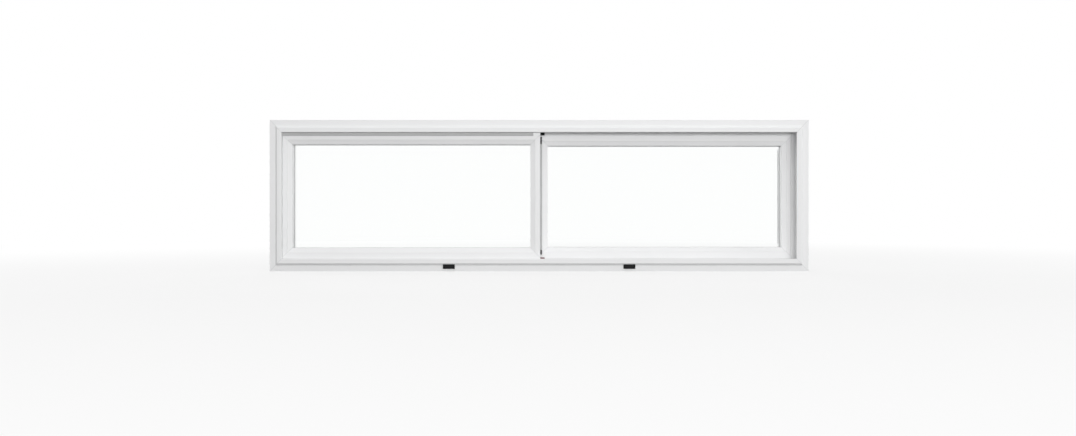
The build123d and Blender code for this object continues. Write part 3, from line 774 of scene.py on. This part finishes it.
base_low, base_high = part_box("lock_base")
lever_low, lever_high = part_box("lock_lever")
spindle = ((base_low.y + base_high.y) / 2, (base_low.z + base_high.z) / 2)
hub = (*spindle, (lever_high.z - lever_low.z) / 2)
tip_y = lever_high.y - LEVER_TIP_RADIUS
tip = (tip_y, spindle[1], LEVER_TIP_RADIUS)
lever_face = lever_low.x + RIDGE_HEIGHT
lever_shape = bmesh.new()
soft_slab(lever_shape, hub, tip, lever_high.x, lever_face, LEVER_EDGE, LEVER_CROWN)
ridge_half = (LEVER_TIP_RADIUS - RIDGE_WIDTH) * RIDGE_LENGTH_SHARE
ridge_ends = [(tip_y, spindle[1] + side * ridge_half, RIDGE_WIDTH / 2) for side in (-1, 1)]
ridge_foot = lever_face + LEVER_CROWN + LEVER_EDGE
soft_slab(lever_shape, *ridge_ends, ridge_foot, lever_low.x, RIDGE_EDGE)
bmesh.ops.recalc_face_normals(lever_shape, faces=lever_shape.faces)
lever_mesh = bpy.data.meshes.new("lever_rounded")
lever_shape.to_mesh(lever_mesh)
lever_shape.free()
for face in lever_mesh.polygons:
    face.use_smooth = len(face.vertices) == 4
stand_for(new_piece("lever_rounded", lever_mesh), "lock_lever", coat)


# Keeper: a stamped and zinc plated steel plate, let in flush on the front sash's meeting stile.
# The cam swings into its slot.
KEEPER_EASE = 0.00015
stand_for(eased("keeper", KEEPER_EASE), "keeper", steel)


# Screws: countersunk, with a cross recess, two in the lock's base and two in the keeper. Each is
# left turned as the driver stopped.
HEAD_HEIGHT = 0.0012
SHANK_RADIUS = 0.001
SHANK_DROP = 0.0002
RECESS_LENGTH = 0.0026
RECESS_WIDTH = 0.00055
RECESS_DEPTH = 0.0009
SCREW_SIDES = 40
SCREWS_IN_ROW = 2


def screw_tree():
    """Geometry Nodes: countersunk screws in a row along Z, each turned at random."""
    tree = bpy.data.node_groups.new("countersunk_screws", "GeometryNodeTree")
    face = tree.interface
    face.new_socket("Geometry", in_out="INPUT", socket_type="NodeSocketGeometry")
    for name in ("Head radius", "Head height", "Shank radius", "Length", "Spacing"):
        face.new_socket(name, in_out="INPUT", socket_type="NodeSocketFloat")
    face.new_socket("First", in_out="INPUT", socket_type="NodeSocketVector")
    face.new_socket("Facing", in_out="INPUT", socket_type="NodeSocketVector")
    face.new_socket("Seed", in_out="INPUT", socket_type="NodeSocketInt")
    face.new_socket("Material", in_out="INPUT", socket_type="NodeSocketMaterial")
    face.new_socket("Screws", in_out="OUTPUT", socket_type="NodeSocketGeometry")
    add = tree_builder(tree)

    given = add("NodeGroupInput").outputs
    below = add("ShaderNodeMath", {"operation": "MULTIPLY"})
    tree.links.new(given["Head height"], below.inputs[0])
    below.inputs[1].default_value = -1.0
    head = add(
        "GeometryNodeMeshCone",
        {"fill_type": "NGON"},
        Vertices=SCREW_SIDES,
        Radius_Top=given["Head radius"],
        Radius_Bottom=given["Shank radius"],
        Depth=given["Head height"],
    )
    head_place = add("ShaderNodeCombineXYZ", Z=below.outputs[0]).outputs[0]
    seated = add(
        "GeometryNodeTransform", Geometry=head.outputs["Mesh"], Translation=head_place
    )
    half = add("ShaderNodeMath", {"operation": "MULTIPLY"})
    tree.links.new(given["Length"], half.inputs[0])
    half.inputs[1].default_value = -0.5
    shank = add(
        "GeometryNodeMeshCylinder",
        {"fill_type": "NGON"},
        Vertices=SCREW_SIDES,
        Radius=given["Shank radius"],
        Depth=given["Length"],
    )
    shank_place = add("ShaderNodeCombineXYZ", Z=half.outputs[0]).outputs[0]
    sunk = add(
        "GeometryNodeTransform", Geometry=shank.outputs["Mesh"], Translation=shank_place
    )
    dropped = add(
        "GeometryNodeTransform", Geometry=sunk.outputs[0], Translation=(0, 0, -SHANK_DROP)
    )
    whole = add("GeometryNodeMeshBoolean", {"operation": "UNION", "solver": "EXACT"})
    tree.links.new(seated.outputs[0], whole.inputs["Mesh 2"])
    tree.links.new(dropped.outputs[0], whole.inputs["Mesh 2"])
    slots = []
    for long_x in (True, False):
        size = (RECESS_LENGTH, RECESS_WIDTH) if long_x else (RECESS_WIDTH, RECESS_LENGTH)
        slots.append(add("GeometryNodeMeshCube", Size=(*size, 2 * RECESS_DEPTH)))
    recess = add("GeometryNodeMeshBoolean", {"operation": "DIFFERENCE", "solver": "EXACT"})
    tree.links.new(whole.outputs["Mesh"], recess.inputs["Mesh 1"])
    for slot in slots:
        tree.links.new(slot.outputs["Mesh"], recess.inputs["Mesh 2"])
    stride = add("ShaderNodeCombineXYZ", Z=given["Spacing"])
    row = add(
        "GeometryNodeMeshLine",
        {"mode": "OFFSET"},
        Count=SCREWS_IN_ROW,
        Start_Location=given["First"],
        Offset=stride.outputs[0],
    )
    turn = add("FunctionNodeRandomValue", {"data_type": "FLOAT"}, Seed=given["Seed"])
    turn.inputs[3].default_value = math.pi
    spun = add("ShaderNodeCombineXYZ", Z=turn.outputs[1])
    facing = add("FunctionNodeAlignRotationToVector", {"axis": "Z"}, Vector=given["Facing"])
    both = add("FunctionNodeRotateRotation", {"rotation_space": "LOCAL"})
    turned = add("FunctionNodeEulerToRotation", Euler=spun.outputs[0])
    tree.links.new(facing.outputs[0], both.inputs[0])
    tree.links.new(turned.outputs[0], both.inputs[1])
    placed = add(
        "GeometryNodeInstanceOnPoints",
        Points=row.outputs["Mesh"],
        Instance=recess.outputs["Mesh"],
        Rotation=both.outputs[0],
    )
    solid = add("GeometryNodeRealizeInstances", Geometry=placed.outputs[0])
    painted = add("GeometryNodeSetMaterial", Geometry=solid.outputs[0], Material=given["Material"])
    out = add("NodeGroupOutput")
    tree.links.new(painted.outputs[0], out.inputs["Screws"])
    return tree


SCREWS = screw_tree()
screw_rows = (("lock_screws", (-1, 0, 0), 21), ("keeper_screws", (0, 1, 0), 22))
for node, facing, seed in screw_rows:
    heads = solids_of(node)
    low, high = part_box(node)
    head_radius = (heads[0][1].z - heads[0][0].z) / 2
    reach = (high - low)[0 if facing[0] else 1]
    first = Vector(((low.x + high.x) / 2, (low.y + high.y) / 2, low.z + head_radius))
    if facing[0]:
        first.x = low.x
    else:
        first.y = high.y
    piece = new_piece(f"{node}_crossed", bpy.data.meshes.new(f"{node}_seed"))
    made = piece.modifiers.new("screws", "NODES")
    made.node_group = SCREWS
    set_inputs(
        made,
        Head_radius=head_radius,
        Head_height=HEAD_HEIGHT,
        Shank_radius=SHANK_RADIUS,
        Length=reach - SHANK_DROP,
        Spacing=high.z - low.z - 2 * head_radius,
        First=first,
        Facing=facing,
        Seed=seed,
        Material=steel,
    )
    stand_for(settle(piece), node)


# Pull rail: a hooked strip of the same vinyl, bonded to the rear sash's jamb stile on the
# inside. The fingers slide the sash by its hook.
stand_for(eased("pull_rail", BEAD_EASE), "pull_rail", sash_vinyl["rear"]["upright"])


# Stage: a pale floor that keeps the shadow, white all round, and soft lamps: a broad one low in
# front, one above, one behind and one at each side, none of them mirrored in glass or metal.
# The camera looks level, as the photograph does.
FLOOR_SIZE = 60.0
FLOOR_WHITE = (0.88, 0.88, 0.88, 1)
FLOOR_BOUNCE = (0.15, 0.15, 0.15, 1)
NEAR_WHITE_SHARE = 0.72
WHITE_FROM = 0.7
WHITE_AT = 2.6
AMBIENT = 0.34
LAMPS = (
    ("key_lamp", (0.3, -3.1, 0.3), (2.0, 0.85), 69.0),
    ("top_lamp", (0.1, -0.9, 2.8), (1.8, 1.8), 16.0),
    ("back_lamp", (-0.7, 3.2, 1.15), (2.8, 2.0), 58.0),
    ("left_lamp", (-3.0, 1.6, 0.95), (1.8, 1.8), 32.0),
    ("right_lamp", (3.3, -0.3, 0.95), (1.8, 1.8), 26.0),
)
CAMERA_PLACE = (-0.0025, -1.79125, 0.1203)
CAMERA_LENS = 25.96


def add_floor():
    """Large floor: shaded near the object, white to the camera further out."""
    mesh = bpy.data.meshes.new("floor")
    half = FLOOR_SIZE / 2
    corners = [(-half, -half, 0), (half, -half, 0), (half, half, 0), (-half, half, 0)]
    mesh.from_pydata(corners, [], [(0, 1, 2, 3)])
    finish = Finish("pale_floor", Roughness=0.9, Specular_IOR_Level=0.1)
    path = finish.node("ShaderNodeLightPath")
    finish.surface(finish.blend(path, FLOOR_BOUNCE, FLOOR_WHITE))
    seen = path
    for output in ("Is Glossy Ray", "Is Transmission Ray"):
        seen = seen + Wire(finish, path.socket.node.outputs[output])
    off_x = finish.along("X")
    off_y = finish.along("Y")
    far = ((off_x * off_x + off_y * off_y) ** 0.5).step(WHITE_FROM, WHITE_AT)
    share = seen * (NEAR_WHITE_SHARE + far * (1 - NEAR_WHITE_SHARE))
    white = finish.node("ShaderNodeEmission", {}, {"Color": (1, 1, 1, 1), "Strength": 1.0})
    shaded = Wire(finish, finish.shader.outputs[0])
    mixed = finish.node("ShaderNodeMixShader", {}, {0: share, 1: shaded, 2: white})
    finish.plug(finish.tree.nodes["Material Output"].inputs["Surface"], mixed)
    mesh.materials.append(finish.material)
    new_piece("floor", mesh)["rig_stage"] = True


def add_world():
    """White where it is seen or mirrored, and a lower even light on surfaces."""
    world = bpy.data.worlds.new("studio")
    bpy.context.scene.world = world
    world.use_nodes = True
    tree = world.node_tree
    add = tree_builder(tree)
    path = add("ShaderNodeLightPath").outputs
    seen = path["Is Camera Ray"]
    for output in ("Is Glossy Ray", "Is Transmission Ray"):
        added = add("ShaderNodeMath", {"operation": "ADD", "use_clamp": True})
        tree.links.new(seen, added.inputs[0])
        tree.links.new(path[output], added.inputs[1])
        seen = added.outputs[0]
    shown = tree.nodes["Background"]
    shown.inputs["Color"].default_value = (1, 1, 1, 1)
    lit = add("ShaderNodeBackground", Color=(1, 1, 1, 1), Strength=AMBIENT)
    mixed = add("ShaderNodeMixShader")
    tree.links.new(seen, mixed.inputs[0])
    tree.links.new(lit.outputs[0], mixed.inputs[1])
    tree.links.new(shown.outputs[0], mixed.inputs[2])
    tree.links.new(mixed.outputs[0], tree.nodes["World Output"].inputs["Surface"])


def add_lamp(name, place, size, watts):
    """Soft lamp, so wide and high, aimed at the middle of the window."""
    light = bpy.data.lights.new(name, "AREA")
    light.shape = "RECTANGLE"
    light.size, light.size_y = size
    light.energy = watts
    lamp = new_piece(name, light)
    lamp.location = place
    lamp.visible_glossy = False
    aim = Vector((0, 0, frame_high.z / 2)) - lamp.location
    lamp.rotation_euler = aim.to_track_quat("-Z", "Y").to_euler()


add_floor()
add_world()
for lamp in LAMPS:
    add_lamp(*lamp)
lens = bpy.data.cameras.new("camera")
lens.lens = CAMERA_LENS
camera = new_piece("camera", lens)
camera.location = CAMERA_PLACE
camera.rotation_euler = (math.pi / 2, 0, 0)
bpy.context.scene.camera = camera
bpy.context.scene.view_settings.view_transform = "Standard"

boxes = {"cad": cad_box, "visual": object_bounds()}
{name: [list(corner) for corner in box] for name, box in boxes.items()}
